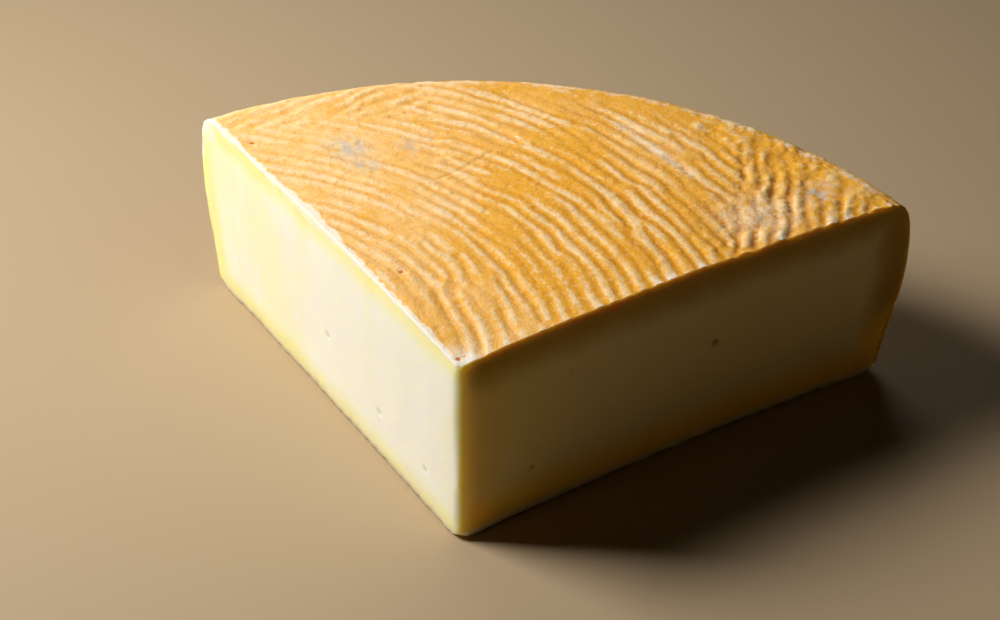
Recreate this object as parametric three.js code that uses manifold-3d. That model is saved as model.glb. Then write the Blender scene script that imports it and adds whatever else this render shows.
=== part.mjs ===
// A quarter of a washed-rind cheese wheel, cut straight down by a wire.
//
// Millimetres, +Z up. It lies on its flat underside. The two cut faces meet in an upright
// corner on the -Y side, 45 degrees to each side of +Y, and the rounded heel is on +Y.
// All shapes are drawn from the foot of that corner, and the finished solid is then moved
// so that the origin is the middle of its outline, on the face that it rests on.

import * as THREE from "three";
import { mergeVertices } from "three/addons/utils/BufferGeometryUtils.js";
import Module from "manifold-3d";

const wasm = await Module();
wasm.setup();

// Driving dimensions of the wheel
const WHEEL_HEIGHT = 65;
const WHEEL_AXIS = new THREE.Vector2(2.0, 5.3);
const FOOT_RADIUS = 147.5;
const FOOT_ROUND = 5.5;
const TAPER_RADIUS = 152.6;
const BULGE_RADIUS = 158.8;
const BULGE_HEIGHT = 42;
const TOP_RADIUS = 149.6;
const HEEL_LUMP = 0.4;
const WHEEL_STEPS = 160;

// The wire bowed a little, so the cut faces are slightly hollow along their length
const HEEL_REACH = 162;
const RIGHT_HOLLOW = 2.5;
const LEFT_HOLLOW = 0.6;
const CUT_STEPS = 14;

// The rind on top: long ridges on arcs about one far point, cast in strips of their own phase
const RIDGE_PITCH = 5.0;
const RIDGE_SAMPLES = 4;
const GROOVE_NARROWNESS = 1.6;
const ARC_CENTRE = new THREE.Vector2(-85, -30);
const ARC_DEPTH = 0.8;
const ARC_REACH = [76, 246];
const ARC_TURNS = [12, 104];
const ARC_ROWS = 54;
const ARC_WANDER = 0.8;
const STRIP_ENDS = [27, 34, 41, 49, 57, 66, 76, 88];
const STRIP_SHIFT = 1.6;
const STRIP_BLEND = 1.5;
const STRIP_FADE = 0.45;

// Two zones have short straight ridges: a herringbone at the left of the rim, and the right corner.
// The way is the direction across their ridges, in degrees from +X, and the two spans are the
// ground that their grids cover across and along the ridges
const HERRINGBONE = { way: 145, depth: 0.8, across: [98, 168], along: [-112, -8] };
const HERRINGBONE_WIDTH = 17;
const HERRINGBONE_END = -46;
const RIGHT_CORNER = { way: 8, depth: 1.0, across: [66, 131], along: [44, 142] };
const RIGHT_CORNER_START = 74;
const RIGHT_CORNER_SLANT = 0.12;
const STRAIGHT_WANDER = 0.5;
const STRAIGHT_STEP = 4;
const ZONE_BLEND = 4;

// Between those two zones the outermost band of the top is nearly smooth
const SMOOTH_RIM = 12;
const RIM_SMOOTHNESS = 0.75;

// The top as a whole sags a little, most at the corner where the two cuts meet
const TOP_SAG = 0.7;
const CORNER_DROP = 0.9;
const CORNER_REACH = 16;

// Small eyes in the paste, by cut face (1 right, -1 left), distance from the corner and height
const EYES = [
  { side: 1, along: 92, height: 34.5, radius: 1.4 },
  { side: 1, along: 26, height: 15.8, radius: 1.0 },
  { side: 1, along: 39, height: 45.6, radius: 0.8 },
  { side: -1, along: 46.5, height: 16.3, radius: 0.9 },
  { side: -1, along: 78, height: 25, radius: 0.9 },
  { side: -1, along: 19.3, height: 13.5, radius: 0.9 },
];

// How far above the top a ridge field runs outside its own zone, where it cuts nothing
const CLEARANCE = 2;

const rad = THREE.MathUtils.degToRad;
const smooth = THREE.MathUtils.smoothstep;
const lerp = THREE.MathUtils.lerp;

// A closed geometry as a solid: only its places count, and places that coincide are one
function solidOf(geometry) {
  const bare = geometry.clone();
  bare.deleteAttribute("normal");
  bare.deleteAttribute("uv");
  const merged = mergeVertices(bare, 1e-4);
  return new wasm.Manifold(
    new wasm.Mesh({
      numProp: 3,
      vertProperties: merged.attributes.position.array,
      triVerts: new Uint32Array(merged.index.array),
    }),
  );
}

function geometryOf(solid) {
  const mesh = solid.getMesh();
  const geometry = new THREE.BufferGeometry();
  geometry.setAttribute(
    "position",
    new THREE.BufferAttribute(new Float32Array(mesh.vertProperties), 3),
  );
  geometry.setIndex(new THREE.BufferAttribute(new Uint32Array(mesh.triVerts), 1));
  return geometry;
}

// The heel in section: a round foot, a long taper out to the bulge, and a fuller round on top
function heelProfile() {
  const profile = new THREE.Path();
  profile.moveTo(0, 0);
  profile.lineTo(FOOT_RADIUS, 0);
  profile.quadraticCurveTo(TAPER_RADIUS - 0.6, 0, TAPER_RADIUS, FOOT_ROUND);
  profile.bezierCurveTo(
    TAPER_RADIUS + 2.2,
    BULGE_HEIGHT * 0.48,
    BULGE_RADIUS,
    BULGE_HEIGHT * 0.7,
    BULGE_RADIUS,
    BULGE_HEIGHT,
  );
  profile.bezierCurveTo(
    BULGE_RADIUS,
    WHEEL_HEIGHT * 0.86,
    BULGE_RADIUS - 2.4,
    WHEEL_HEIGHT - 0.6,
    TOP_RADIUS,
    WHEEL_HEIGHT,
  );
  profile.lineTo(0, WHEEL_HEIGHT);
  return profile.getPoints(5);
}

// The whole wheel, its heel a little lumpy from the mould and from lying on shelves
function wheelSolid() {
  const geometry = new THREE.LatheGeometry(heelProfile(), WHEEL_STEPS);
  geometry.rotateX(Math.PI / 2);
  const places = geometry.attributes.position;
  for (let i = 0; i < places.count; i++) {
    const x = places.getX(i);
    const y = places.getY(i);
    const z = places.getZ(i);
    const radius = Math.hypot(x, y);
    if (radius <= FOOT_RADIUS) continue;
    const turn = Math.atan2(y, x);
    const lump =
      Math.sin(9 * turn + z / 19) * 0.6 + Math.sin(23 * turn - z / 11) * 0.4;
    const grown = 1 + (HEEL_LUMP * lump * smooth(z, 2, 20)) / radius;
    places.setX(i, x * grown);
    places.setY(i, y * grown);
  }
  geometry.translate(WHEEL_AXIS.x, WHEEL_AXIS.y, 0);
  return solidOf(geometry);
}

// A point on a cut face in plan: side is 1 for the right face and -1 for the left
function onCut(side, along, inward) {
  const slant = Math.SQRT1_2;
  return new THREE.Vector2(
    side * slant * (along - inward),
    slant * (along + inward),
  );
}

// What the two wire cuts leave, in plan, drawn well past the heel
function wedgeSolid() {
  const past = HEEL_REACH * 1.25;
  const outline = new THREE.Shape();
  const start = onCut(1, 0, 0);
  const rightMiddle = onCut(1, HEEL_REACH / 2, 2 * RIGHT_HOLLOW);
  const rightEnd = onCut(1, HEEL_REACH, 0);
  const rightPast = onCut(1, past, 0);
  const leftPast = onCut(-1, past, 0);
  const leftEnd = onCut(-1, HEEL_REACH, 0);
  const leftMiddle = onCut(-1, HEEL_REACH / 2, 2 * LEFT_HOLLOW);
  outline.moveTo(start.x, start.y);
  outline.quadraticCurveTo(rightMiddle.x, rightMiddle.y, rightEnd.x, rightEnd.y);
  outline.lineTo(rightPast.x, rightPast.y);
  outline.lineTo(rightPast.x, past * 2);
  outline.lineTo(leftPast.x, past * 2);
  outline.lineTo(leftPast.x, leftPast.y);
  outline.lineTo(leftEnd.x, leftEnd.y);
  outline.quadraticCurveTo(leftMiddle.x, leftMiddle.y, start.x, start.y);
  const geometry = new THREE.ExtrudeGeometry(outline, {
    depth: WHEEL_HEIGHT * 1.5,
    bevelEnabled: false,
    curveSegments: CUT_STEPS,
  });
  geometry.translate(0, 0, -WHEEL_HEIGHT / 4);
  return solidOf(geometry);
}

// The level of the crests
function crestLevel(x, y) {
  const sag = TOP_SAG * (0.5 + 0.5 * Math.sin(x / 27 + 0.8) * Math.cos(y / 33 - 0.4));
  const corner = CORNER_DROP * Math.exp(-(x * x + y * y) / CORNER_REACH ** 2);
  return WHEEL_HEIGHT - sag - corner;
}

// How far inside the rim a point of the top is
function insideRim(x, y) {
  return TOP_RADIUS - Math.hypot(x - WHEEL_AXIS.x, y - WHEEL_AXIS.y);
}

// From 0 on a broad crest to 1 at the bottom of a narrow groove
function groove(across) {
  return (0.5 + 0.5 * Math.cos((2 * Math.PI * across) / RIDGE_PITCH)) ** GROOVE_NARROWNESS;
}

// Where each zone of ridges holds, as a share from 0 to 1
function inHerringbone(x, y) {
  const start = HERRINGBONE_WIDTH - ZONE_BLEND;
  const band = 1 - smooth(insideRim(x, y), start, HERRINGBONE_WIDTH + ZONE_BLEND);
  return band * (1 - smooth(x, HERRINGBONE_END - ZONE_BLEND, HERRINGBONE_END + ZONE_BLEND));
}

function inRightCorner(x, y) {
  const past = x + RIGHT_CORNER_SLANT * y - RIGHT_CORNER_START;
  return smooth(past, -ZONE_BLEND, ZONE_BLEND);
}

function inArcs(x, y) {
  return (1 - inHerringbone(x, y)) * (1 - inRightCorner(x, y));
}

function onSmoothRim(x, y) {
  const band = 1 - smooth(insideRim(x, y), SMOOTH_RIM - ZONE_BLEND, SMOOTH_RIM + ZONE_BLEND);
  return band * smooth(x, HERRINGBONE_END - ZONE_BLEND, HERRINGBONE_END + ZONE_BLEND);
}

// The top under a field of grooves. Towards the end of its zone the grooves fade, and past it
// the field climbs clear of the cheese
function fieldLevel(x, y, share, depth) {
  const shown = smooth(share, 0.15, 0.6) * (1 - RIM_SMOOTHNESS * onSmoothRim(x, y));
  return crestLevel(x, y) - depth * shown + CLEARANCE * (1 - smooth(share, 0, 0.3));
}

// The long ridges: each strip of them is shifted against the next, and they fade at its ends
function arcGroove(x, y) {
  const reach = Math.hypot(x - ARC_CENTRE.x, y - ARC_CENTRE.y);
  const turn = Math.atan2(y - ARC_CENTRE.y, x - ARC_CENTRE.x);
  const angle = THREE.MathUtils.radToDeg(turn);
  let shift = ARC_WANDER * Math.sin(angle / 5.1 + reach / 23);
  let strength = 1;
  STRIP_ENDS.forEach((end, i) => {
    const side = i % 2 ? -1 : 1;
    shift += side * STRIP_SHIFT * smooth(angle, end - STRIP_BLEND, end + STRIP_BLEND);
    strength *= 1 - STRIP_FADE * Math.exp(-(((angle - end) / STRIP_BLEND) ** 2));
  });
  return strength * groove(reach + shift);
}

function straightGroove(x, y, zone) {
  const way = rad(zone.way);
  const across = x * Math.cos(way) + y * Math.sin(way);
  return groove(across + STRAIGHT_WANDER * Math.sin((x + y) / 9));
}

// All that lies above a height field over a grid of places, up to a lid clear of the wheel
function aboveField(columns, rows, placeAt, levelAt) {
  const lid = WHEEL_HEIGHT + 3 * CLEARANCE;
  const places = [];
  for (let j = 0; j <= rows; j++)
    for (let i = 0; i <= columns; i++) {
      const [x, y] = placeAt(i / columns, j / rows);
      places.push(x, y, lid, x, y, levelAt(x, y));
    }
  const high = (i, j) => 2 * (j * (columns + 1) + i);
  const low = (i, j) => high(i, j) + 1;
  const faces = [];
  const quad = (a, b, c, d) => faces.push(a, b, c, a, c, d);
  for (let j = 0; j < rows; j++)
    for (let i = 0; i < columns; i++) {
      quad(high(i, j), high(i + 1, j), high(i + 1, j + 1), high(i, j + 1));
      quad(low(i, j), low(i, j + 1), low(i + 1, j + 1), low(i + 1, j));
    }
  for (let i = 0; i < columns; i++) {
    quad(low(i, 0), low(i + 1, 0), high(i + 1, 0), high(i, 0));
    quad(high(i, rows), high(i + 1, rows), low(i + 1, rows), low(i, rows));
  }
  for (let j = 0; j < rows; j++) {
    quad(high(0, j), high(0, j + 1), low(0, j + 1), low(0, j));
    quad(low(columns, j), low(columns, j + 1), high(columns, j + 1), high(columns, j));
  }
  const geometry = new THREE.BufferGeometry();
  geometry.setAttribute("position", new THREE.Float32BufferAttribute(places, 3));
  geometry.setIndex(faces);
  return solidOf(geometry);
}

// The long ridges are cut by a grid of rings and rays about their far point
function arcRidgeCut() {
  const [near, far] = ARC_REACH;
  const columns = Math.round(((far - near) / RIDGE_PITCH) * RIDGE_SAMPLES);
  const place = (s, t) => {
    const reach = lerp(near, far, s);
    const turn = rad(lerp(...ARC_TURNS, t));
    return [ARC_CENTRE.x + reach * Math.cos(turn), ARC_CENTRE.y + reach * Math.sin(turn)];
  };
  const level = (x, y) => fieldLevel(x, y, inArcs(x, y), ARC_DEPTH * arcGroove(x, y));
  return aboveField(columns, ARC_ROWS, place, level);
}

// Straight ridges are cut by a straight grid that is turned their way
function straightRidgeCut(zone, shareAt) {
  const way = rad(zone.way);
  const [nearest, farthest] = zone.across;
  const [first, last] = zone.along;
  const columns = Math.round(((farthest - nearest) / RIDGE_PITCH) * RIDGE_SAMPLES);
  const rows = Math.round((last - first) / STRAIGHT_STEP);
  const place = (s, t) => {
    const across = lerp(nearest, farthest, s);
    const along = lerp(first, last, t);
    return [
      across * Math.cos(way) - along * Math.sin(way),
      across * Math.sin(way) + along * Math.cos(way),
    ];
  };
  const level = (x, y) =>
    fieldLevel(x, y, shareAt(x, y), zone.depth * straightGroove(x, y, zone));
  return aboveField(columns, rows, place, level);
}

// A small round eye, half open where the wire went through it
function eyeSolid({ side, along, height, radius }) {
  const t = along / HEEL_REACH;
  const hollow = side > 0 ? RIGHT_HOLLOW : LEFT_HOLLOW;
  const place = onCut(side, along, 4 * hollow * t * (1 - t));
  const geometry = new THREE.IcosahedronGeometry(radius, 1);
  geometry.translate(place.x, place.y, height);
  return solidOf(geometry);
}

function cheeseSolid() {
  let solid = wheelSolid().intersect(wedgeSolid());
  const ridges = [
    arcRidgeCut(),
    straightRidgeCut(HERRINGBONE, inHerringbone),
    straightRidgeCut(RIGHT_CORNER, inRightCorner),
  ];
  for (const cut of [...ridges, ...EYES.map(eyeSolid)]) solid = solid.subtract(cut);
  return solid;
}

function quarterWheel() {
  const geometry = geometryOf(cheeseSolid());
  geometry.computeBoundingBox();
  const middle = geometry.boundingBox.getCenter(new THREE.Vector3());
  geometry.translate(-middle.x, -middle.y, -geometry.boundingBox.min.z);
  geometry.computeVertexNormals();
  const rind = new THREE.MeshStandardMaterial({ color: 0xd9a24a, roughness: 0.7, metalness: 0 });
  const mesh = new THREE.Mesh(geometry, rind);
  mesh.name = "cheese_quarter_wheel";
  return mesh;
}

const cheese = new THREE.Group();
cheese.add(quarterWheel());

export default cheese;
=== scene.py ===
"""A quarter of a washed-rind cheese wheel, dressed round its solid.

The blank is made about the foot of the upright corner between its two cut faces, with the right
cut along +X and the left cut along +Y. It is then turned and moved into the frame, where +Y runs
from that corner towards the heel.
Lengths are in millimetres until a shape is made: MM turns them into metres.
"""

import math

import bpy
import numpy as np
from mathutils import Matrix, Vector


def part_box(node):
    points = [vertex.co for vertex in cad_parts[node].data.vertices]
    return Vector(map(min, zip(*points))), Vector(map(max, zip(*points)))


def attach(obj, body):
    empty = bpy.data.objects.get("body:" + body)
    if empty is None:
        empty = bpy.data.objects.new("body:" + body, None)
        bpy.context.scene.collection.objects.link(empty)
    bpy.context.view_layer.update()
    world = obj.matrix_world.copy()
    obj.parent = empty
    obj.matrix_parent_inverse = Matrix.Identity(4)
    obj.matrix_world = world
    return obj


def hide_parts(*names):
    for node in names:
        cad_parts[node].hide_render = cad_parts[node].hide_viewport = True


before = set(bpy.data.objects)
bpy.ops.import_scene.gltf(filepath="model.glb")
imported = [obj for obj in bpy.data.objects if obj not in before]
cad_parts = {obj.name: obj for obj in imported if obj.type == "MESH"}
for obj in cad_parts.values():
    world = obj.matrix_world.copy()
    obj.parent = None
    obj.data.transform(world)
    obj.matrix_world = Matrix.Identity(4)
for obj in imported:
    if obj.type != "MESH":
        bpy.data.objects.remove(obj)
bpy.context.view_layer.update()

MM = 0.001
NODE = "cheese_quarter_wheel"
SLOT = "washed_rind_cheese"
SLANT = math.sqrt(0.5)

# The wheel, as its solid has it. CORNER is the foot of the upright corner in the frame, and the
# axis of the wheel and all places on the rind are counted from there
low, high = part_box(NODE)
HEIGHT = (high.z - low.z) / MM
CORNER = (-1.14, low.y / MM)
WHEEL_AXIS = (2.0, 5.3)
FOOT_RADIUS = 147.5
FOOT_ROUND = 5.5
TAPER_RADIUS = 152.6
BULGE_RADIUS = 158.8
BULGE_HEIGHT = 42.0
TOP_RADIUS = 149.6
HEEL_LUMP = 0.4
HEEL_REACH = 162.0
RIGHT_HOLLOW = 2.5
LEFT_HOLLOW = 0.6

# The rind's ridges lie on arcs about one far point, but for two zones where they lie straight: a
# herringbone at the left of the rim, and a fan in the right corner. A zone's way is the direction
# across its ridges, in degrees from +X. A lean turns the arcs: (degrees, place, radius)
RIDGE_PITCH = 5.0
ARC_CENTRE = (-85.0, -30.0)
ARC_LEANS = ((9.0, (32, 115), 24), (6.0, (15, 35), 30), (-8.0, (-35, 125), 25))
HERRINGBONE_WAY = 145.0
HERRINGBONE_WIDTH = 17.0
HERRINGBONE_END = -46.0
FAN_WAY = 8.0
FAN_START = 62.0
FAN_SLANT = 0.12

# The ridges are laid in patches that are each a little out of step, as pressed cloth leaves them.
# The wide and the long are a patch's reach across and along its ridges, and the last four are how
# much its place, its way, its phase and its pitch vary
PATCH_SEED = 5
PATCH_SPACING = 8.5
PATCH_ROWS = (-5, 165)
PATCH_COLUMNS = (-120, 122)
PAST_CUTS = 25
PAST_RIM = 20
PATCH_WIDE = 5.5
PATCH_LONG = 10.0
PATCH_REACH = 3.0 * PATCH_LONG
PATCH_SHIFT = 0.45
PATCH_TURN = 0.07
PATCH_LOOSE = 1.0
PATCH_STRETCH = (0.93, 1.07)

# How deep the relief is
RIDGE_DEPTH = 1.0
UNDER_DEPTH = 0.8
CREASE_DEPTH = 0.3
PIT_DEPTH = 0.4
MOTTLE_DEPTH = 0.38
LEAST_CRUMB = 0.06
MOST_CRUMB = 0.38
THREAD_DEPTH = 0.05
CLOTH_DEPTH = 0.10
EYE_DEPTH = 0.9

# The top and the underside take the faces beside them along, down to SQUEEZE from them
TOP_SAG = 0.7
CORNER_DROP = 0.9
CORNER_REACH = 16.0
SQUEEZE = 7.0

# The upright corner is round, and its foot is lifted a little
CORNER_ROUND = 3.2
FOOT_TIP = 2.2
FOOT_TIP_REACH = 4.0

# Worn, grey and white places on the top: (share, place, radius)
WORN = ((0.45, (-85, 95), 34), (0.35, (-45, 84), 12), (0.4, (-52, 100), 14), (0.8, (70, 92), 11),
        (0.5, (4, 97), 9), (0.35, (46, 78), 9))
GREY_SPOTS = ((1.0, (-60, 102), 6), (0.9, (-52, 93), 4), (0.5, (-42, 108), 5), (1.0, (86, 111), 5))
WHITE_SPOTS = ((0.7, (71, 93), 11), (1.8, (0, 2), 6))

# Lines across the top, from place to place
WHITE_STREAK = ((22, 134), (46, 112))
WHITE_STREAK_WIDTH = 1.6
CREASE = ((-28, 91), (-16, 109))

# Red pits on the top, and a reddish spot on the right cut: (along the cut, height)
RED_PITS = ((-26.8, 39.0), (-90.6, 97.5), (-1.3, 4.0))
RED_SPOT = (53.0, 62.2)

# The white cap at the upper end of the left cut: (along the cut, height)
CAP = (154, 60)

# The white edge of the left cut is widest about this far from the corner
WIDE_EDGE = 86

# Small holes in the cut faces, side 1 for the right cut and -1 for the left:
# (side, along the cut, height, radius, how dark the painted shade in it is)
EYES = ((1, 92, 34.5, 1.4, 0.75), (1, 26, 15.8, 1.0, 0.5), (1, 39, 45.6, 0.8, 0.3),
        (-1, 46.5, 16.3, 0.9, 0.3), (-1, 78, 25, 0.9, 0.45), (-1, 19.3, 13.5, 0.9, 0.3))

# Mesh fineness. The net is twice as fine over the top and just below it, at the foot of each cut,
# along the upright corner and round the eyes
WHEEL_STEPS = 160
RING_STEPS = 6
VOXEL = 1.3
FINE_TOP = 3.2
FINE_FOOT = 2.2
FINE_FOOT_WIDTH = 2.5
FINE_CORNER = 3.5
FINE_EYE = 2.5
SAME_LEVEL = 0.01
LATTICE = 256

# The photographed view
CAMERA_PLACE = (104.2, -522.2, 408.2)
CAMERA_HEADING = 12.08
CAMERA_DOWN = 35.71
CAMERA_ROLL = 0.81
CAMERA_LENS = 75.6
CAMERA_SENSOR = 36.0


# Small helpers

def deselect_all():
    if bpy.context.object and bpy.context.object.mode != "OBJECT":
        bpy.ops.object.mode_set(mode="OBJECT")
    bpy.ops.object.select_all(action="DESELECT")


def select_only(piece):
    deselect_all()
    piece.select_set(True)
    bpy.context.view_layer.objects.active = piece


def edit(piece):
    select_only(piece)
    bpy.ops.object.mode_set(mode="EDIT")


def leave_edit():
    bpy.ops.object.mode_set(mode="OBJECT")


def select_by(piece, kind, test):
    """Selects the vertices or faces of a piece in edit mode that pass the test."""
    bpy.ops.mesh.select_mode(type=kind)
    bpy.ops.mesh.select_all(action="DESELECT")
    leave_edit()
    parts = piece.data.vertices if kind == "VERT" else piece.data.polygons
    for part in parts:
        part.select = test(part)
    bpy.ops.object.mode_set(mode="EDIT")


def smooth(value, start, end):
    """0 at start, 1 at end, and a smooth step between them."""
    t = np.clip((value - start) / (end - start), 0.0, 1.0)
    return t * t * (3.0 - 2.0 * t)


def noise(x, y, size, seed):
    """Smooth noise from -1 to 1 on a lattice with cells of that size."""
    lattice = np.random.default_rng(seed).uniform(-1.0, 1.0, (LATTICE, LATTICE))
    u = np.asarray(x) / size + LATTICE / 2
    v = np.asarray(y) / size + LATTICE / 2
    i = np.floor(u).astype(int)
    j = np.floor(v).astype(int)
    f = smooth(u - i, 0.0, 1.0)
    g = smooth(v - j, 0.0, 1.0)
    i0, i1 = i % LATTICE, (i + 1) % LATTICE
    j0, j1 = j % LATTICE, (j + 1) % LATTICE
    near = lattice[i0, j0] * (1 - f) + lattice[i1, j0] * f
    far = lattice[i0, j1] * (1 - f) + lattice[i1, j1] * f
    return near * (1 - g) + far * g


def rough_noise(x, y, size, seed, octaves=3):
    """Noise with finer noise on it, each octave half as large and half as strong."""
    total = np.zeros_like(np.asarray(x, dtype=float))
    for octave in range(octaves):
        total += noise(x, y, size / 2 ** octave, seed + 17 * octave) / 2 ** octave
    return total


def spot(x, y, centre, radius):
    """1 at a centre, falling away round it over a radius."""
    return np.exp(-((x - centre[0]) ** 2 + (y - centre[1]) ** 2) / radius ** 2)


def spots(x, y, marks):
    """Several spots together, each with its share."""
    return sum(share * spot(x, y, place, radius) for share, place, radius in marks)


def line(x, y, start, end, width):
    """1 along a line between two places, falling away over a width to its sides and ends."""
    start, end = np.array(start, dtype=float), np.array(end, dtype=float)
    way = (end - start) / np.linalg.norm(end - start)
    along = (x - start[0]) * way[0] + (y - start[1]) * way[1]
    off = along - np.clip(along, 0, np.linalg.norm(end - start))
    across = (y - start[1]) * way[0] - (x - start[0]) * way[1]
    return np.exp(-(np.hypot(off * 0.5, across) / width) ** 2)


# The outline of the heel

def bezier(points, t):
    """A point (radius, height) of a quadratic or cubic curve."""
    while len(points) > 1:
        points = [
            (a[0] + (b[0] - a[0]) * t, a[1] + (b[1] - a[1]) * t)
            for a, b in zip(points, points[1:])
        ]
    return points[0]


def heel_profile():
    """The heel in section from foot to top: a round foot, a taper, a bulge and a fuller round."""
    foot = [(FOOT_RADIUS, 0.0), (TAPER_RADIUS - 0.6, 0.0), (TAPER_RADIUS, FOOT_ROUND)]
    taper = [
        (TAPER_RADIUS, FOOT_ROUND),
        (TAPER_RADIUS + 2.2, BULGE_HEIGHT * 0.48),
        (BULGE_RADIUS, BULGE_HEIGHT * 0.7),
        (BULGE_RADIUS, BULGE_HEIGHT),
    ]
    crown = [
        (BULGE_RADIUS, BULGE_HEIGHT),
        (BULGE_RADIUS, HEIGHT * 0.86),
        (BULGE_RADIUS - 2.4, HEIGHT - 0.6),
        (TOP_RADIUS, HEIGHT),
    ]
    profile = [foot[0]]
    for curve in (foot, taper, crown):
        profile += [bezier(curve, step / RING_STEPS) for step in range(1, RING_STEPS + 1)]
    return profile


PROFILE = heel_profile()


def heel_radius(z):
    return np.interp(z, [p[1] for p in PROFILE], [p[0] for p in PROFILE])


# The blank: a wheel with its heel's section, cut twice

def to_cut_frame(x, y):
    """From the frame's directions (+Y towards the heel) to those along the two cuts."""
    return (x + y) * SLANT, (y - x) * SLANT


def wheel_blank():
    """The whole wheel: a cylinder that is sliced at each height of the section and scaled there."""
    axis = to_cut_frame(*WHEEL_AXIS)
    centre = Vector((axis[0] * MM, axis[1] * MM, 0.0))
    deselect_all()
    bpy.ops.mesh.primitive_cylinder_add(
        vertices=WHEEL_STEPS,
        radius=BULGE_RADIUS * MM,
        depth=HEIGHT * MM,
        location=centre + Vector((0, 0, HEIGHT * MM / 2)),
    )
    wheel = bpy.context.object
    wheel.name = "ridged_cheese_quarter"
    bpy.ops.object.transform_apply(location=True, rotation=True, scale=True)
    edit(wheel)
    for _, height in PROFILE[1:-1]:
        bpy.ops.mesh.select_all(action="SELECT")
        bpy.ops.mesh.bisect(plane_co=(0, 0, height * MM), plane_no=(0, 0, 1))
    for radius, height in PROFILE:
        select_by(wheel, "VERT", lambda v, h=height: abs(v.co.z - h * MM) < SAME_LEVEL * MM)
        share = radius / BULGE_RADIUS
        bpy.ops.transform.resize(value=(share, share, 1), center_override=centre)
    leave_edit()
    return wheel


def cut_quarter(wheel):
    """Two straight cuts leave the quarter between +X and +Y, closed by flat faces."""
    edit(wheel)
    for normal in ((0, 1, 0), (1, 0, 0)):
        bpy.ops.mesh.select_all(action="SELECT")
        bpy.ops.mesh.bisect(plane_co=(0, 0, 0), plane_no=normal, clear_inner=True, use_fill=True)
    bpy.ops.mesh.select_all(action="SELECT")
    bpy.ops.mesh.normals_make_consistent(inside=False)
    leave_edit()


def at_small_form(place):
    """Whether a place of the blank lies at the foot of a cut, the upright corner or an eye."""
    right_along, left_along, height = place.x / MM, place.y / MM, place.z / MM
    if height < FINE_FOOT and min(right_along, left_along) < FINE_FOOT_WIDTH:
        return True
    if max(right_along, left_along) < FINE_CORNER:
        return True
    for side, along, level, radius, _ in EYES:
        here, off = (right_along, left_along) if side == 1 else (left_along, right_along)
        if off < 1.0 and math.hypot(here - along, height - level) < FINE_EYE * radius:
            return True
    return False


def in_fine_zone(face):
    return face.center.z > (HEIGHT - FINE_TOP) * MM or at_small_form(face.center)


def refine(piece):
    """An even net of small faces, twice as fine over the top and where small marks lie."""
    even = piece.modifiers.new("even", "REMESH")
    even.mode = "VOXEL"
    even.voxel_size = VOXEL * MM
    select_only(piece)
    bpy.ops.object.modifier_apply(modifier=even.name)
    edit(piece)
    select_by(piece, "FACE", in_fine_zone)
    bpy.ops.mesh.subdivide(number_cuts=1, smoothness=0)
    leave_edit()


def turn_into_frame(piece):
    piece.rotation_euler = (0, 0, math.radians(45))
    piece.location = (CORNER[0] * MM, CORNER[1] * MM, 0)
    select_only(piece)
    bpy.ops.object.transform_apply(location=True, rotation=True, scale=True)


# The rind's relief. Places on the top are (x, y) from the upright corner, with +Y to the heel

def inside_rim(x, y):
    """How far a place lies inside the rim of the top."""
    return TOP_RADIUS - np.hypot(x - WHEEL_AXIS[0], y - WHEEL_AXIS[1])


def ridge_way(x, y):
    """(way across the ridges, phase there), both in radians, of the zone that a place lies in."""
    if inside_rim(x, y) < HERRINGBONE_WIDTH and x < HERRINGBONE_END:
        way = math.radians(HERRINGBONE_WAY)
    elif x > FAN_START + FAN_SLANT * (100 - y):
        way = math.radians(FAN_WAY)
    else:
        dx, dy = x - ARC_CENTRE[0], y - ARC_CENTRE[1]
        way = math.atan2(dy, dx) - math.radians(spots(x, y, ARC_LEANS))
        return way, 2 * math.pi * math.hypot(dx, dy) / RIDGE_PITCH
    return way, 2 * math.pi * (x * math.cos(way) + y * math.sin(way)) / RIDGE_PITCH


def ridge_waves(x, y):
    """(wave from groove 0 to crest 1, strength from 0 to 1) of the ridges over the whole top.

    Every patch leads the ridges round it with a phase of its own, so that they bend, fork and
    end where two patches disagree.
    """
    chance = np.random.default_rng(PATCH_SEED)
    lead = np.zeros(x.shape, dtype=complex)
    weight = np.full(x.shape, 1e-6)
    for row in np.arange(*PATCH_ROWS, PATCH_SPACING):
        for column in np.arange(*PATCH_COLUMNS, PATCH_SPACING):
            home_x = column + chance.uniform(-PATCH_SHIFT, PATCH_SHIFT) * PATCH_SPACING
            home_y = row + chance.uniform(-PATCH_SHIFT, PATCH_SHIFT) * PATCH_SPACING
            way, phase = ridge_way(home_x, home_y)
            way += chance.normal(0, PATCH_TURN)
            phase += chance.normal(0, PATCH_LOOSE)
            pitch = RIDGE_PITCH * chance.uniform(*PATCH_STRETCH)
            if home_y < abs(home_x) - PAST_CUTS or inside_rim(home_x, home_y) < -PAST_RIM:
                continue
            near = np.hypot(x - home_x, y - home_y) < PATCH_REACH
            dx, dy = x[near] - home_x, y[near] - home_y
            across = dx * math.cos(way) + dy * math.sin(way)
            along = dy * math.cos(way) - dx * math.sin(way)
            share = np.exp(-(across / PATCH_WIDE) ** 2 - (along / PATCH_LONG) ** 2)
            lead[near] += share * np.exp(1j * (phase + 2 * np.pi * across / pitch))
            weight[near] += share
    wave = 0.5 + 0.5 * np.cos(np.angle(lead))
    return wave, smooth(np.abs(lead) / weight, -0.25, 0.65)


def crease(x, y, width):
    """1 along the thin crease across the ridges, falling away over a width."""
    return line(x, y + noise(x, y, 8, 57), *CREASE, width)


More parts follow.
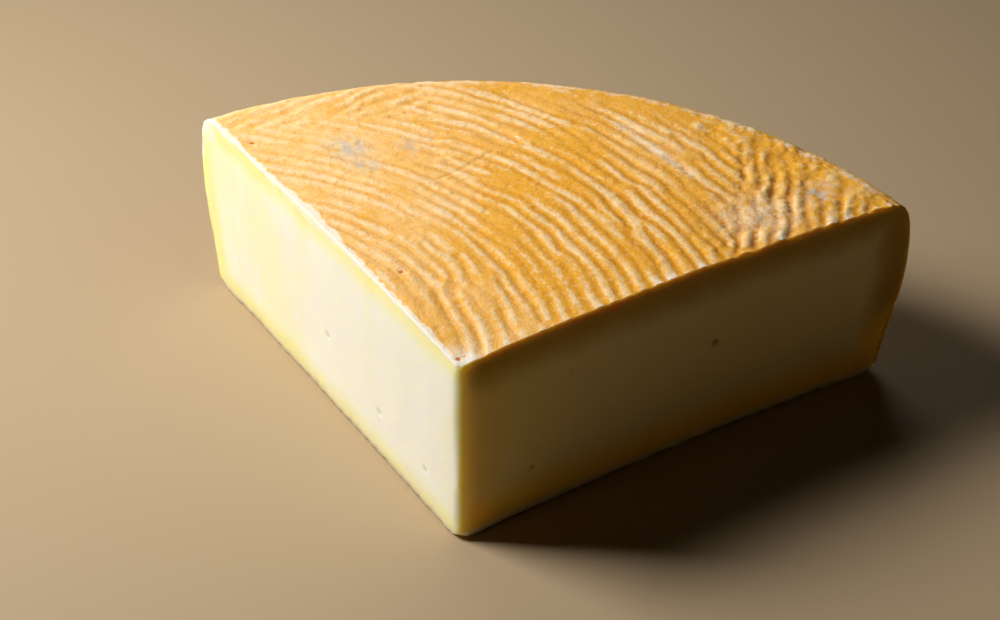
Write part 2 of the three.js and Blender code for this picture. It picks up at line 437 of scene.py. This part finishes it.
def ridge_share(x, y):
    """How deep the ridges are at each place, as a share of their full depth."""
    share = 0.40 + 0.15 * noise(x, y, 24, 51) + 0.16 * smooth(x + 0.5 * y, 20, 100)
    share = share + 0.32 * smooth(x, FAN_START - 4, FAN_START + 4)
    share = share - spots(x, y, WORN)
    share = share * (1 - 0.6 * crease(x, y, 2.2))
    rim = inside_rim(x, y) + 3.0 * noise(x, y, 11, 64)
    smooth_rim = (1 - smooth(rim, 6, 14)) * smooth(x, HERRINGBONE_END - 6, HERRINGBONE_END + 14)
    return np.clip(share, 0.15, 1.3) * (1 - 0.85 * smooth_rim)


def grain(x, y):
    """The fine crumbly grain that lies over the whole rind."""
    return 0.6 * noise(x, y, 1.6, 41) + 0.4 * noise(x, y, 0.9, 42)


def dents(x, y):
    """How deep the crease and the red pits are."""
    pits = sum(spot(x, y, pit, 1.1) for pit in RED_PITS)
    return CREASE_DEPTH * crease(x, y, 0.8) + PIT_DEPTH * pits


def crest_level(x, y):
    """The height of the crests: the top sags a little, most at the upright corner."""
    sag = TOP_SAG * (0.5 + 0.5 * np.sin(x / 27 + 0.8) * np.cos(y / 33 - 0.4))
    corner = CORNER_DROP * np.exp(-(x * x + y * y) / CORNER_REACH ** 2)
    return HEIGHT - sag - corner


def along_ridges(x, y):
    """(place across the ridges, place along them) in millimetres."""
    dx, dy = x - ARC_CENTRE[0], y - ARC_CENTRE[1]
    across, along = np.hypot(dx, dy), 120 * np.arctan2(dy, dx)
    fan = smooth(x - FAN_SLANT * (100 - y), FAN_START - 2, FAN_START + 2)
    return across * (1 - fan) + x * fan, along * (1 - fan) + y * fan


def rind_relief(x, y):
    """(height of the top in millimetres, share of crest, share of painted groove shade) at each
    place.
    """
    warped_x = x + 0.5 * noise(x, y, 9, 2) + 0.25 * noise(x, y, 3.5, 3)
    warped_y = y + 0.5 * noise(x, y, 9, 4) + 0.25 * noise(x, y, 3.5, 6)
    wave, strength = ridge_waves(warped_x, warped_y)
    across, along = along_ridges(warped_x, warped_y)
    toward_back = smooth(0.5 * x + 0.5 * y, -5, 80)
    in_fan = smooth(x, FAN_START - 4, FAN_START + 6)
    right_rim = (1 - smooth(inside_rim(x, y), 10, 20)) * smooth(x, 30, 55)

    # Each ridge is deeper and shallower by dashes along it, and fades at the two cuts
    dash = noise(across, 0.3 * along, 4.5, 55)
    depth = RIDGE_DEPTH * ridge_share(x, y) * strength * np.clip(0.95 + 0.7 * dash, 0.4, 1.4)
    depth *= 1 - 0.45 * np.exp(-((y - np.abs(x)) / 4.5) ** 2)
    beads = (0.16 + 0.5 * in_fan) * noise(x, y, 3.2, 52)
    crest = wave ** (1.05 - 0.35 * toward_back) * (0.92 + beads)

    # Over the ridges lie a mottle, a fine crumb and thin threads
    mottled = 0.25 + 0.75 * np.clip(right_rim + spot(x, y, (70, 92), 14) + 0.5 * in_fan, 0, 1)
    mottle = rough_noise(x, y, 5.0, 91)
    crumb = LEAST_CRUMB + MOST_CRUMB * mottled * np.clip(0.5 + noise(x, y, 12, 53), 0, 1)
    thread = noise(across, 0.18 * along, 1.3, 56)
    fine = MOTTLE_DEPTH * mottled * (mottle - 1) + crumb * (grain(x, y) - 0.8)
    fine += THREAD_DEPTH * (thread - 1)
    level = crest_level(x, y) - depth * (1 - crest) - dents(x, y)
    level += fine

    # The colour follows the ridges where they are deep, and the mottle where the rind is bare
    shown = np.clip(strength * depth / 0.18, 0, 1) * (1 - 0.4 * smooth(y, 90, 115))
    # Painted shade: a dark hairline along each groove's bottom, whole grooves darker towards the
    # back, and a dark line in the crease
    hairline_shade = 0.5 * smooth(wave, 0.14, 0.0)
    valley = smooth(wave, 0.35 + 0.15 * in_fan, 0.0)
    groove = shown * np.maximum(hairline_shade, toward_back * valley)
    groove = np.maximum(groove, 0.5 * crease(x, y, 0.5))
    bare = 0.40 + 0.16 * right_rim + (0.25 + 0.35 * right_rim) * mottle
    colour = shown * crest + (1 - shown) * bare + 0.10 * thread
    return level, colour * (1 + 0.5 * dash), groove


# Sculpting the fine mesh

class Places:
    """Where each vertex of the turned blank lies on the cheese, in millimetres."""

    def __init__(self, piece):
        places = np.empty(len(piece.data.vertices) * 3, dtype=np.float32)
        piece.data.vertices.foreach_get("co", places)
        places = places.reshape(-1, 3).astype(float)
        self.x = places[:, 0] / MM - CORNER[0]
        self.y = places[:, 1] / MM - CORNER[1]
        self.z = places[:, 2] / MM
        self.right_along, self.left_along = to_cut_frame(self.x, self.y)
        self.from_right, self.from_left = self.left_along, self.right_along
        self.to_cut = np.minimum(self.from_right, self.from_left)
        self.wheel_x = self.x - WHEEL_AXIS[0]
        self.wheel_y = self.y - WHEEL_AXIS[1]
        self.radius = np.hypot(self.wheel_x, self.wheel_y)
        self.turn = np.arctan2(self.wheel_y, self.wheel_x)
        self.from_heel = heel_radius(self.z) - self.radius
        self.on_top = smooth(self.z, HEIGHT - 6, HEIGHT - 1)
        self.on_underside = 1 - smooth(self.z, 1, 4)


def lift_of(at, level, under_crest):
    """How far each place rises. The top sinks into its grooves, and the underside lies on its
    crests, so that its grooves go up."""
    lift = (level - HEIGHT) * np.clip((at.z - (HEIGHT - SQUEEZE)) / SQUEEZE, 0, 1)
    hollow = UNDER_DEPTH * (1 - np.clip(under_crest, 0, 1)) * smooth(at.from_heel, 1, 9)
    from_tip = np.hypot(np.hypot(at.x, at.y), at.z)
    hollow = np.maximum(hollow, FOOT_TIP * np.exp(-(from_tip / FOOT_TIP_REACH) ** 2))
    return lift + hollow * np.clip(1 - at.z / SQUEEZE, 0, 1)


def cloth_print(at):
    """The soft print of cloth and shelf on the heel."""
    arc = at.turn * BULGE_RADIUS
    return CLOTH_DEPTH * noise(arc, at.z * 1.4, 7, 71) + CLOTH_DEPTH * noise(arc, at.z, 3.0, 72)


def heel_growth(at, cloth):
    """What the lumps and the cloth multiply each place's distance from the wheel's axis by."""
    lump = 0.6 * np.sin(9 * at.turn + at.z / 19) + 0.4 * np.sin(23 * at.turn - at.z / 11)
    out = HEEL_LUMP * lump * smooth(at.z, 2, 20)
    threads = 0.04 * noise(at.turn * BULGE_RADIUS, at.z, 1.3, 73)
    out += (cloth + threads - 0.2) * smooth(-at.from_heel, -5.0, -0.5)
    return 1 + out / np.maximum(at.radius, 1.0) * smooth(-at.from_heel, -9.0, 0.0)


def wire_cuts(at):
    """(how far each place moves inward, by side, and how dark the painted shade in an eye makes
    it).

    The wire left the right face hollow and the left one less so, both with faint waves and eyes.
    """
    inward = {}
    eye = np.zeros_like(at.z)
    for side, along, off, hollow, seed in (
        (1, at.right_along, at.from_right, RIGHT_HOLLOW, 81),
        (-1, at.left_along, at.from_left, LEFT_HOLLOW, 83),
    ):
        share = along / HEEL_REACH
        depth = 4 * hollow * share * (1 - share)
        waves = 0.12 * noise(along, at.z * 0.25, 9, seed)
        waves += 0.05 * noise(along, at.z * 0.3, 3, seed + 1)
        depth += waves
        for eye_side, eye_along, eye_height, eye_radius, darkness in EYES:
            if eye_side == side:
                dent = spot(along, at.z, (eye_along, eye_height), eye_radius)
                depth += EYE_DEPTH * eye_radius * dent
                shade = darkness * smooth(dent, 0.3, 0.9) * (1 - smooth(off, 0.5, 2))
                eye = np.maximum(eye, shade)
        inward[side] = np.maximum(depth, 0) * np.exp(-off / 30)
    return inward, eye


def round_corner(at, inward):
    """The upright corner is a little round, by more at some heights than at others."""
    corner = CORNER_ROUND * (1 + 0.35 * noise(at.z, 0 * at.z, 7, 91))
    in_right = np.maximum(corner - at.right_along, 0)
    in_left = np.maximum(corner - at.left_along, 0)
    past = np.maximum(1 - corner / np.maximum(np.hypot(in_right, in_left), corner), 0)
    inward[-1] += in_right * past
    inward[1] += in_left * past


def sharpen_heel(at, growth, inward):
    """The even net cuts steps into the sharp edges of the heel, which are drawn out again."""
    at_edge = (at.from_heel < 0.6 * VOXEL) & (at.to_cut < 0.6 * VOXEL)
    by_right = at_edge & (at.from_right < at.from_left)
    by_left = at_edge & (at.from_left < at.from_right)
    inward[1] = inward[1] - np.where(by_right, at.from_right, 0)
    inward[-1] = inward[-1] - np.where(by_left, at.from_left, 0)
    return np.where(at_edge, growth + at.from_heel / np.maximum(at.radius, 1.0), growth)


def move(piece, at, growth, inward, lift):
    """Puts each vertex in its place on the finished form."""
    move_x = (inward[-1] - inward[1]) * SLANT
    move_y = (inward[-1] + inward[1]) * SLANT
    moved = np.stack(
        [
            WHEEL_AXIS[0] + at.wheel_x * growth + move_x + CORNER[0],
            WHEEL_AXIS[1] + at.wheel_y * growth + move_y + CORNER[1],
            at.z + lift,
        ],
        axis=1,
    )
    piece.data.vertices.foreach_set("co", (moved * MM).astype(np.float32).ravel())


# What the material is told of each place

def edge_marks(at):
    """(white crumbly edge of the left cut, pale line along the foot of both)."""
    wander = 0.5 * noise(at.left_along, at.z, 4.5, 85) + 0.35 * noise(at.left_along, at.z, 1.7, 86)
    wide_stretch = np.exp(-((at.left_along - WIDE_EDGE) / 16) ** 2)
    width = np.maximum(0.5, 1.6 + 1.3 * wide_stretch + 1.4 * wander)
    top_line = 1 - smooth(np.hypot(at.from_left, HEIGHT - at.z) / width, 0.75, 1.2)
    heel_line = 1 - smooth(np.hypot(at.from_left, at.from_heel) + wander, 0.8, 1.6)
    heel_line *= smooth(at.z, 38, 46)
    cap_distance = np.hypot(np.hypot(at.left_along - CAP[0], at.z - CAP[1]), at.from_left)
    cap = 1 - smooth(cap_distance + 2 * wander, 3, 7)
    foot_line = 1 - smooth(np.hypot(at.to_cut, at.z) + 0.9 * wander, 1.2, 2.2)
    return np.maximum.reduce([top_line, heel_line, cap]), foot_line


def white_bloom(at, crest):
    """White spots, a streak, a broken line along the rim and the crests' tips at the right cut."""
    x, y = at.x, at.y
    rim_line = np.exp(-((inside_rim(x, y) + 0.8) / 1.3) ** 2) * at.on_top
    broken = smooth(noise(x, y, 2.2, 87) + 0.4 * noise(x, y, 14, 88), -0.1, 0.3)
    rim_line *= smooth(x, -70, -40) * broken
    right_tips = 1.5 * np.exp(-(at.from_right / 3.0) ** 2) * smooth(crest, 0.3, 0.7) * at.on_top
    right_tips *= smooth(noise(x, y, 5, 89), -0.2, 0.2)
    streak = line(x, y, *WHITE_STREAK, WHITE_STREAK_WIDTH) * at.on_top
    return spots(x, y, WHITE_SPOTS) * at.on_top + streak + rim_line + right_tips


def red_marks(at):
    """The red pits on the top and the reddish spot on the right cut."""
    pits = sum(spot(at.x, at.y, pit, 1.0) for pit in RED_PITS) * at.on_top
    on_cut = spot(at.right_along, at.z, RED_SPOT, 1.3) * (1 - smooth(at.from_right, 0.8, 2))
    return np.maximum(pits, on_cut)


def sculpt(piece):
    """Gives the blank its relief, and stores what the material needs to know of each place."""
    at = Places(piece)
    level, crest, groove = rind_relief(at.x, at.y)
    _, under_crest, under_groove = rind_relief(-at.x * 0.94 + 3, at.y * 1.03)
    cloth = cloth_print(at)
    inward, eye = wire_cuts(at)
    round_corner(at, inward)
    growth = sharpen_heel(at, heel_growth(at, cloth), inward)
    move(piece, at, growth, inward, lift_of(at, level, under_crest))

    past_left = at.from_left - at.from_right
    on_heel = 1 - at.on_top - at.on_underside
    white_edge, foot_line = edge_marks(at)
    told = {
        "cut": 1 - smooth(at.to_cut, 0.25, 0.8),
        "under_rind": np.maximum(0.0, np.minimum(np.minimum(HEIGHT - at.z, at.z), at.from_heel)),
        "crest": crest * at.on_top + under_crest * at.on_underside + (0.5 + cloth) * on_heel,
        # groove: painted shade in the grooves of the top and the underside
        "groove": groove * at.on_top + under_groove * at.on_underside,
        "right_cut": smooth(past_left, 0, 8),
        "painted_corner_glow": smooth(past_left, -2, 2) * np.exp(-at.from_left / 10),
        "eye": eye,
        "white_edge": white_edge,
        "foot_line": foot_line,
        "white_bloom": white_bloom(at, crest),
        "grey_mould": spots(at.x, at.y, GREY_SPOTS) * at.on_top,
        "red_pits": red_marks(at),
    }
    for name, values in told.items():
        layer = piece.data.attributes.new(name, "FLOAT", "POINT")
        layer.data.foreach_set("value", np.asarray(values, dtype=np.float32))
    piece.data.update()


def cheese():
    piece = wheel_blank()
    cut_quarter(piece)
    refine(piece)
    turn_into_frame(piece)
    sculpt(piece)
    select_only(piece)
    bpy.ops.object.shade_smooth()
    piece.data.name = piece.name
    return piece


# The material

class Shader:
    """A few words for making a node tree."""

    def __init__(self, name):
        self.material = bpy.data.materials.new(name)
        self.material.use_nodes = True
        self.tree = self.material.node_tree
        self.tree.nodes.clear()
        self.place = self.tree.nodes.new("ShaderNodeTexCoord").outputs["Object"]

    def node(self, kind, **settings):
        made = self.tree.nodes.new(kind)
        for key, value in settings.items():
            setattr(made, key, value)
        return made

    def put(self, socket, value):
        """Links a socket to another, or sets it to a number or a colour."""
        if isinstance(value, bpy.types.NodeSocket):
            self.tree.links.new(value, socket)
        elif isinstance(value, tuple) and len(value) == 3 and socket.type == "RGBA":
            socket.default_value = (*value, 1.0)
        else:
            socket.default_value = value

    def attribute(self, name):
        return self.node("ShaderNodeAttribute", attribute_name=name).outputs["Fac"]

    def axis(self, name):
        """The place along X, Y or Z, in metres."""
        made = self.node("ShaderNodeSeparateXYZ")
        self.put(made.inputs[0], self.place)
        return made.outputs[name]

    def noise(self, size_mm, detail=2.0, roughness=0.5, stretch=None):
        """Noise from 0 to 1 with features of about that size."""
        texture = self.node("ShaderNodeTexNoise")
        place = self.place
        if stretch:
            mapping = self.node("ShaderNodeMapping")
            self.put(mapping.inputs["Vector"], place)
            self.put(mapping.inputs["Scale"], stretch)
            place = mapping.outputs["Vector"]
        self.put(texture.inputs["Vector"], place)
        self.put(texture.inputs["Scale"], 1.0 / (size_mm * MM))
        self.put(texture.inputs["Detail"], detail)
        self.put(texture.inputs["Roughness"], roughness)
        return texture.outputs["Fac"]

    def swing(self, size_mm, detail, roughness):
        """Noise from -0.5 to 0.5."""
        return self.math("SUBTRACT", self.noise(size_mm, detail, roughness), 0.5)

    def math(self, operation, a, b):
        made = self.node("ShaderNodeMath", operation=operation)
        self.put(made.inputs[0], a)
        self.put(made.inputs[1], b)
        return made.outputs[0]

    def times(self, a, b):
        return self.math("MULTIPLY", a, b)

    def plus(self, a, b):
        return self.math("ADD", a, b)

    def step(self, value, start, end):
        """0 at start, 1 at end and smooth between them, whichever is larger."""
        made = self.node("ShaderNodeMapRange", interpolation_type="SMOOTHSTEP")
        self.put(made.inputs["Value"], value)
        self.put(made.inputs["From Min"], start)
        self.put(made.inputs["From Max"], end)
        return made.outputs["Result"]

    def mix(self, share, a, b):
        """Colour a, with a share of colour b."""
        made = self.node("ShaderNodeMix", data_type="RGBA")
        self.put(made.inputs["Factor"], share)
        self.put(made.inputs[6], a)
        self.put(made.inputs[7], b)
        return made.outputs[2]

    def mix_value(self, share, a, b):
        """Number a, with a share of number b."""
        made = self.node("ShaderNodeMix", data_type="FLOAT")
        self.put(made.inputs["Factor"], share)
        self.put(made.inputs[2], a)
        self.put(made.inputs[3], b)
        return made.outputs[0]

    def bump(self, height, distance_mm, strength):
        made = self.node("ShaderNodeBump")
        self.put(made.inputs["Height"], height)
        self.put(made.inputs["Distance"], distance_mm * MM)
        self.put(made.inputs["Strength"], strength)
        return made.outputs["Normal"]


# Colours, as linear light
AMBER = (0.85, 0.41, 0.035)
PEACH = (0.95, 0.60, 0.24)
GOLD = (0.86, 0.45, 0.050)
# Rust brown is both the rind's rusty specks and painted shade in its grooves
RUST_AND_GROOVE_SHADE = (0.50, 0.18, 0.006)
CREAM = (0.91, 0.68, 0.39)
RIGHT_CREAM = (0.86, 0.60, 0.27)
RED_BROWN = (0.62, 0.19, 0.03)
WHITE_BLOOM = (0.90, 0.83, 0.70)
GREY_MOULD = (0.54, 0.51, 0.46)
RIND_EDGE_AND_SHADE = (0.48, 0.19, 0.02)
FOOT_RIND = (1.0, 0.78, 0.38)
YELLOW_PASTE = (1.0, 0.85, 0.38)
GOLDEN_PASTE = (0.92, 0.60, 0.07)
BROWN_PASTE_AND_SHADE = (0.42, 0.25, 0.025)
EYE_PAINTED_SHADE = (0.22, 0.15, 0.04)
PAINTED_SHADE_PASTE = (0.65, 0.51, 0.17)
IVORY_PASTE = (0.95, 1.0, 0.80)
PAINTED_GLOW_PASTE = (0.86, 0.64, 0.08)
PALE_FLOOR = (0.42, 0.315, 0.19)

# Finish. The rind is matt and the paste faintly moist. Light goes some way into the paste, less of
# it blue, and little into the rind
RIND_ROUGHNESS = (0.65, 0.9)
PASTE_ROUGHNESS = 0.42
BUMP_DEPTH = 0.35
BUMP_STRENGTH = 0.6
RIND_GLOW = 0.18
PASTE_GLOW = 1.0
GLOW_COLOURS = (1.0, 0.97, 0.30)
GLOW_REACH = 7.0
CHEESE_IOR = 1.45
CHEESE_SHINE = 0.13
FLOOR_ROUGHNESS = 0.7


def rind_colour(s):
    """Amber, peach and gold with painted shade in rust brown along the grooves, and over them cream
    crests, bloom and mould.
    """
    leftness = s.step(s.axis("X"), 10 * MM, -80 * MM)
    tone = s.plus(s.noise(38, 3.0), s.times(leftness, 0.35))
    colour = s.mix(s.step(tone, 0.42, 0.85), AMBER, PEACH)
    golden = s.step(s.noise(11, 5.0, 0.65), 0.46, 0.72)
    colour = s.mix(s.times(golden, 0.75), colour, GOLD)
    # Painted shade: the grooves and the crease are darkened in rust brown
    colour = s.mix(s.times(s.attribute("groove"), 0.8), colour, RUST_AND_GROOVE_SHADE)

    # The cream bloom sits on the crests, broken by crumbs and bare in places
    crumbs = s.times(s.swing(1.5, 4.0, 0.65), 1.1)
    broken = s.step(s.noise(2.6, 4.0, 0.7), 0.25, 0.56)
    bloom = s.times(s.step(s.plus(s.attribute("crest"), crumbs), 0.48, 0.78), broken)
    bloom = s.times(bloom, s.step(s.noise(24, 2.0), 0.10, 0.55))
    # The cream crests are duller and darker towards the right
    cream = s.mix(s.step(s.axis("X"), 20 * MM, 80 * MM), CREAM, RIGHT_CREAM)
    colour = s.mix(s.times(bloom, 0.90), colour, cream)

    # Small cream flecks, amber smudges and rusty specks
    fleck = s.step(s.noise(1.4, 3.0, 0.6), 0.52, 0.66)
    colour = s.mix(s.times(fleck, 0.32), colour, CREAM)
    smudge = s.step(s.noise(4.5, 5.0, 0.75), 0.52, 0.63)
    colour = s.mix(s.times(smudge, 0.45), colour, AMBER)
    speck = s.step(s.noise(1.6, 3.0, 0.65, stretch=(1.0, 1.0, 1.3)), 0.40, 0.30)
    colour = s.mix(s.times(speck, 0.35), colour, RUST_AND_GROOVE_SHADE)

    # The white and grey moulds, both ragged
    white = s.times(s.attribute("white_bloom"), s.step(s.noise(2.2, 5.0, 0.7), 0.36, 0.54))
    colour = s.mix(s.times(white, 0.7), colour, WHITE_BLOOM)
    grey = s.times(s.attribute("grey_mould"), s.step(s.noise(2.6, 5.0, 0.7), 0.40, 0.54))
    return s.mix(s.times(grey, 0.9), colour, GREY_MOULD)


def paste_colour(s):
    """Ivory, yellower by the rind, and with painted shade deeper on the right cut, with a brown
    zone at its edges.
    """
    right = s.attribute("right_cut")
    ragged = s.plus(s.attribute("under_rind"), s.times(s.swing(9, 4.0, 0.6), 5.0))
    cloud = s.noise(22, 4.0, 0.55, stretch=(1.0, 1.0, 0.35))
    cloud = s.plus(cloud, s.times(s.step(s.axis("X"), -20 * MM, -100 * MM), 0.18))
    yellow = s.times(s.step(cloud, 0.48, 0.78), 0.45)
    yellow = s.plus(yellow, s.times(s.step(ragged, 11.0, 1.5), 0.85))
    colour = s.mix(yellow, IVORY_PASTE, YELLOW_PASTE)
    # Painted shade: the right cut, which faces away from the key light, is darker and browner
    colour = s.mix(s.times(right, 0.8), colour, PAINTED_SHADE_PASTE)
    # Painted glow: golden paste on the shaded side of the upright corner stands in for light
    # passing through it from the lit left cut
    colour = s.mix(s.attribute("painted_corner_glow"), colour, PAINTED_GLOW_PASTE)
    # By the rind of the right cut the paste turns golden low down and brown higher up: the paste is
    # yellower by its rind, and the brown is painted shade
    rind_band_and_shade = s.mix(s.step(s.axis("Z"), 12 * MM, 30 * MM), GOLDEN_PASTE, BROWN_PASTE_AND_SHADE)
    colour = s.mix(s.times(s.times(right, 0.9), s.step(ragged, 17.0, 5.0)), colour, rind_band_and_shade)
    # Painted shade darkens the eyes, the small holes in the cut faces
    colour = s.mix(s.attribute("eye"), colour, EYE_PAINTED_SHADE)
    # A dark brown line where the rind meets the paste: faint on the left cut and strong on the
    # right cut, where the extra darkness is painted shade
    edge_strength_and_shade = s.mix_value(right, 0.15, 0.85)
    return s.mix(s.times(s.step(ragged, 2.2, 1.0), edge_strength_and_shade), colour, RIND_EDGE_AND_SHADE)


def cheese_material():
    """Paste where the wire cut and rind elsewhere, with the marks of the edges over both."""
    s = Shader(SLOT)
    cut = s.step(s.plus(s.attribute("cut"), s.times(s.noise(1.6, 3.0), 0.3)), 0.5, 0.8)
    colour = s.mix(cut, rind_colour(s), paste_colour(s))
    torn = s.times(s.swing(1.8, 4.0, 0.6), 1.4)
    white_edge = s.step(s.plus(s.attribute("white_edge"), torn), 0.35, 0.75)
    colour = s.mix(s.times(white_edge, 0.92), colour, WHITE_BLOOM)
    colour = s.mix(s.step(s.attribute("foot_line"), 0.2, 0.7), colour, FOOT_RIND)
    colour = s.mix(s.step(s.attribute("red_pits"), 0.25, 0.8), colour, RED_BROWN)

    rind_roughness = s.mix_value(s.noise(4, 3.0), *RIND_ROUGHNESS)
    rind_bump = s.plus(s.times(s.noise(0.9, 3.0, 0.6), 1.0), s.times(s.noise(2.2, 2.0), 0.8))
    paste_bump = s.times(s.noise(1.4, 2.0, 0.5, stretch=(1.0, 1.0, 0.15)), 0.12)
    height = s.mix_value(cut, rind_bump, paste_bump)

    surface = s.node("ShaderNodeBsdfPrincipled")
    output = s.node("ShaderNodeOutputMaterial")
    s.put(surface.inputs["Base Color"], colour)
    s.put(surface.inputs["Roughness"], s.mix_value(cut, rind_roughness, PASTE_ROUGHNESS))
    s.put(surface.inputs["Normal"], s.bump(height, BUMP_DEPTH, BUMP_STRENGTH))
    s.put(surface.inputs["Subsurface Weight"], s.mix_value(cut, RIND_GLOW, PASTE_GLOW))
    surface.inputs["Subsurface Radius"].default_value = GLOW_COLOURS
    surface.inputs["Subsurface Scale"].default_value = GLOW_REACH * MM
    surface.inputs["IOR"].default_value = CHEESE_IOR
    surface.inputs["Specular IOR Level"].default_value = CHEESE_SHINE
    s.put(output.inputs["Surface"], surface.outputs["BSDF"])
    return s.material


# The stage

def plain_material(name, colour, roughness):
    s = Shader(name)
    surface = s.node("ShaderNodeBsdfPrincipled")
    output = s.node("ShaderNodeOutputMaterial")
    s.put(surface.inputs["Base Color"], colour)
    surface.inputs["Roughness"].default_value = roughness
    s.put(output.inputs["Surface"], surface.outputs["BSDF"])
    return s.material


def floor():
    deselect_all()
    bpy.ops.mesh.primitive_plane_add(size=12.0, location=(0, 0, 0))
    plane = bpy.context.object
    plane.name = "floor"
    plane.data.materials.append(plain_material("pale_floor", PALE_FLOOR, FLOOR_ROUGHNESS))


def soft_light(name, heading, elevation, distance, size, power, colour, spread=180):
    """A square soft light that looks at the cheese.

    The heading is counted from +X towards +Y, and it, the elevation and the spread are in
    degrees. The distance and the size are in metres.
    """
    turn, up = math.radians(heading), math.radians(elevation)
    way = Vector((math.cos(turn) * math.cos(up), math.sin(turn) * math.cos(up), math.sin(up)))
    data = bpy.data.lights.new(name, "AREA")
    data.size = size
    data.spread = math.radians(spread)
    data.energy = power
    data.color = colour
    light = bpy.data.objects.new(name, data)
    light.location = way * distance + Vector((0, 0, HEIGHT * MM / 2))
    light.rotation_euler = way.to_track_quat("Z", "Y").to_euler()
    bpy.context.scene.collection.objects.link(light)


def lights():
    soft_light("key", heading=180, elevation=39.5, distance=0.8, size=0.35, power=3.6,
               colour=(1.0, 0.96, 0.91), spread=110)
    soft_light("fill", heading=-45, elevation=8, distance=0.9, size=0.5, power=0.125,
               colour=(1.0, 0.56, 0.20))
    soft_light("back", heading=110, elevation=30, distance=1.4, size=0.8, power=2.5,
               colour=(1.0, 0.95, 0.86))
    world = bpy.data.worlds.new("dim_room")
    world.use_nodes = True
    world.node_tree.nodes["Background"].inputs["Color"].default_value = (1.0, 0.80, 0.55, 1.0)
    world.node_tree.nodes["Background"].inputs["Strength"].default_value = 0.007
    bpy.context.scene.world = world


def camera():
    data = bpy.data.cameras.new("camera")
    data.lens = CAMERA_LENS
    data.sensor_width = CAMERA_SENSOR
    made = bpy.data.objects.new("camera", data)
    turn = (
        Matrix.Rotation(math.radians(CAMERA_HEADING), 4, "Z")
        @ Matrix.Rotation(math.radians(90 - CAMERA_DOWN), 4, "X")
        @ Matrix.Rotation(math.radians(CAMERA_ROLL), 4, "Z")
    )
    made.matrix_world = Matrix.Translation(Vector(CAMERA_PLACE) * MM) @ turn
    bpy.context.scene.collection.objects.link(made)
    bpy.context.scene.camera = made
    bpy.context.scene.view_settings.view_transform = "Standard"


camera()
floor()
lights()

quarter = cheese()
quarter.data.materials.append(cheese_material())
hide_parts(NODE)
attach(quarter, "root")
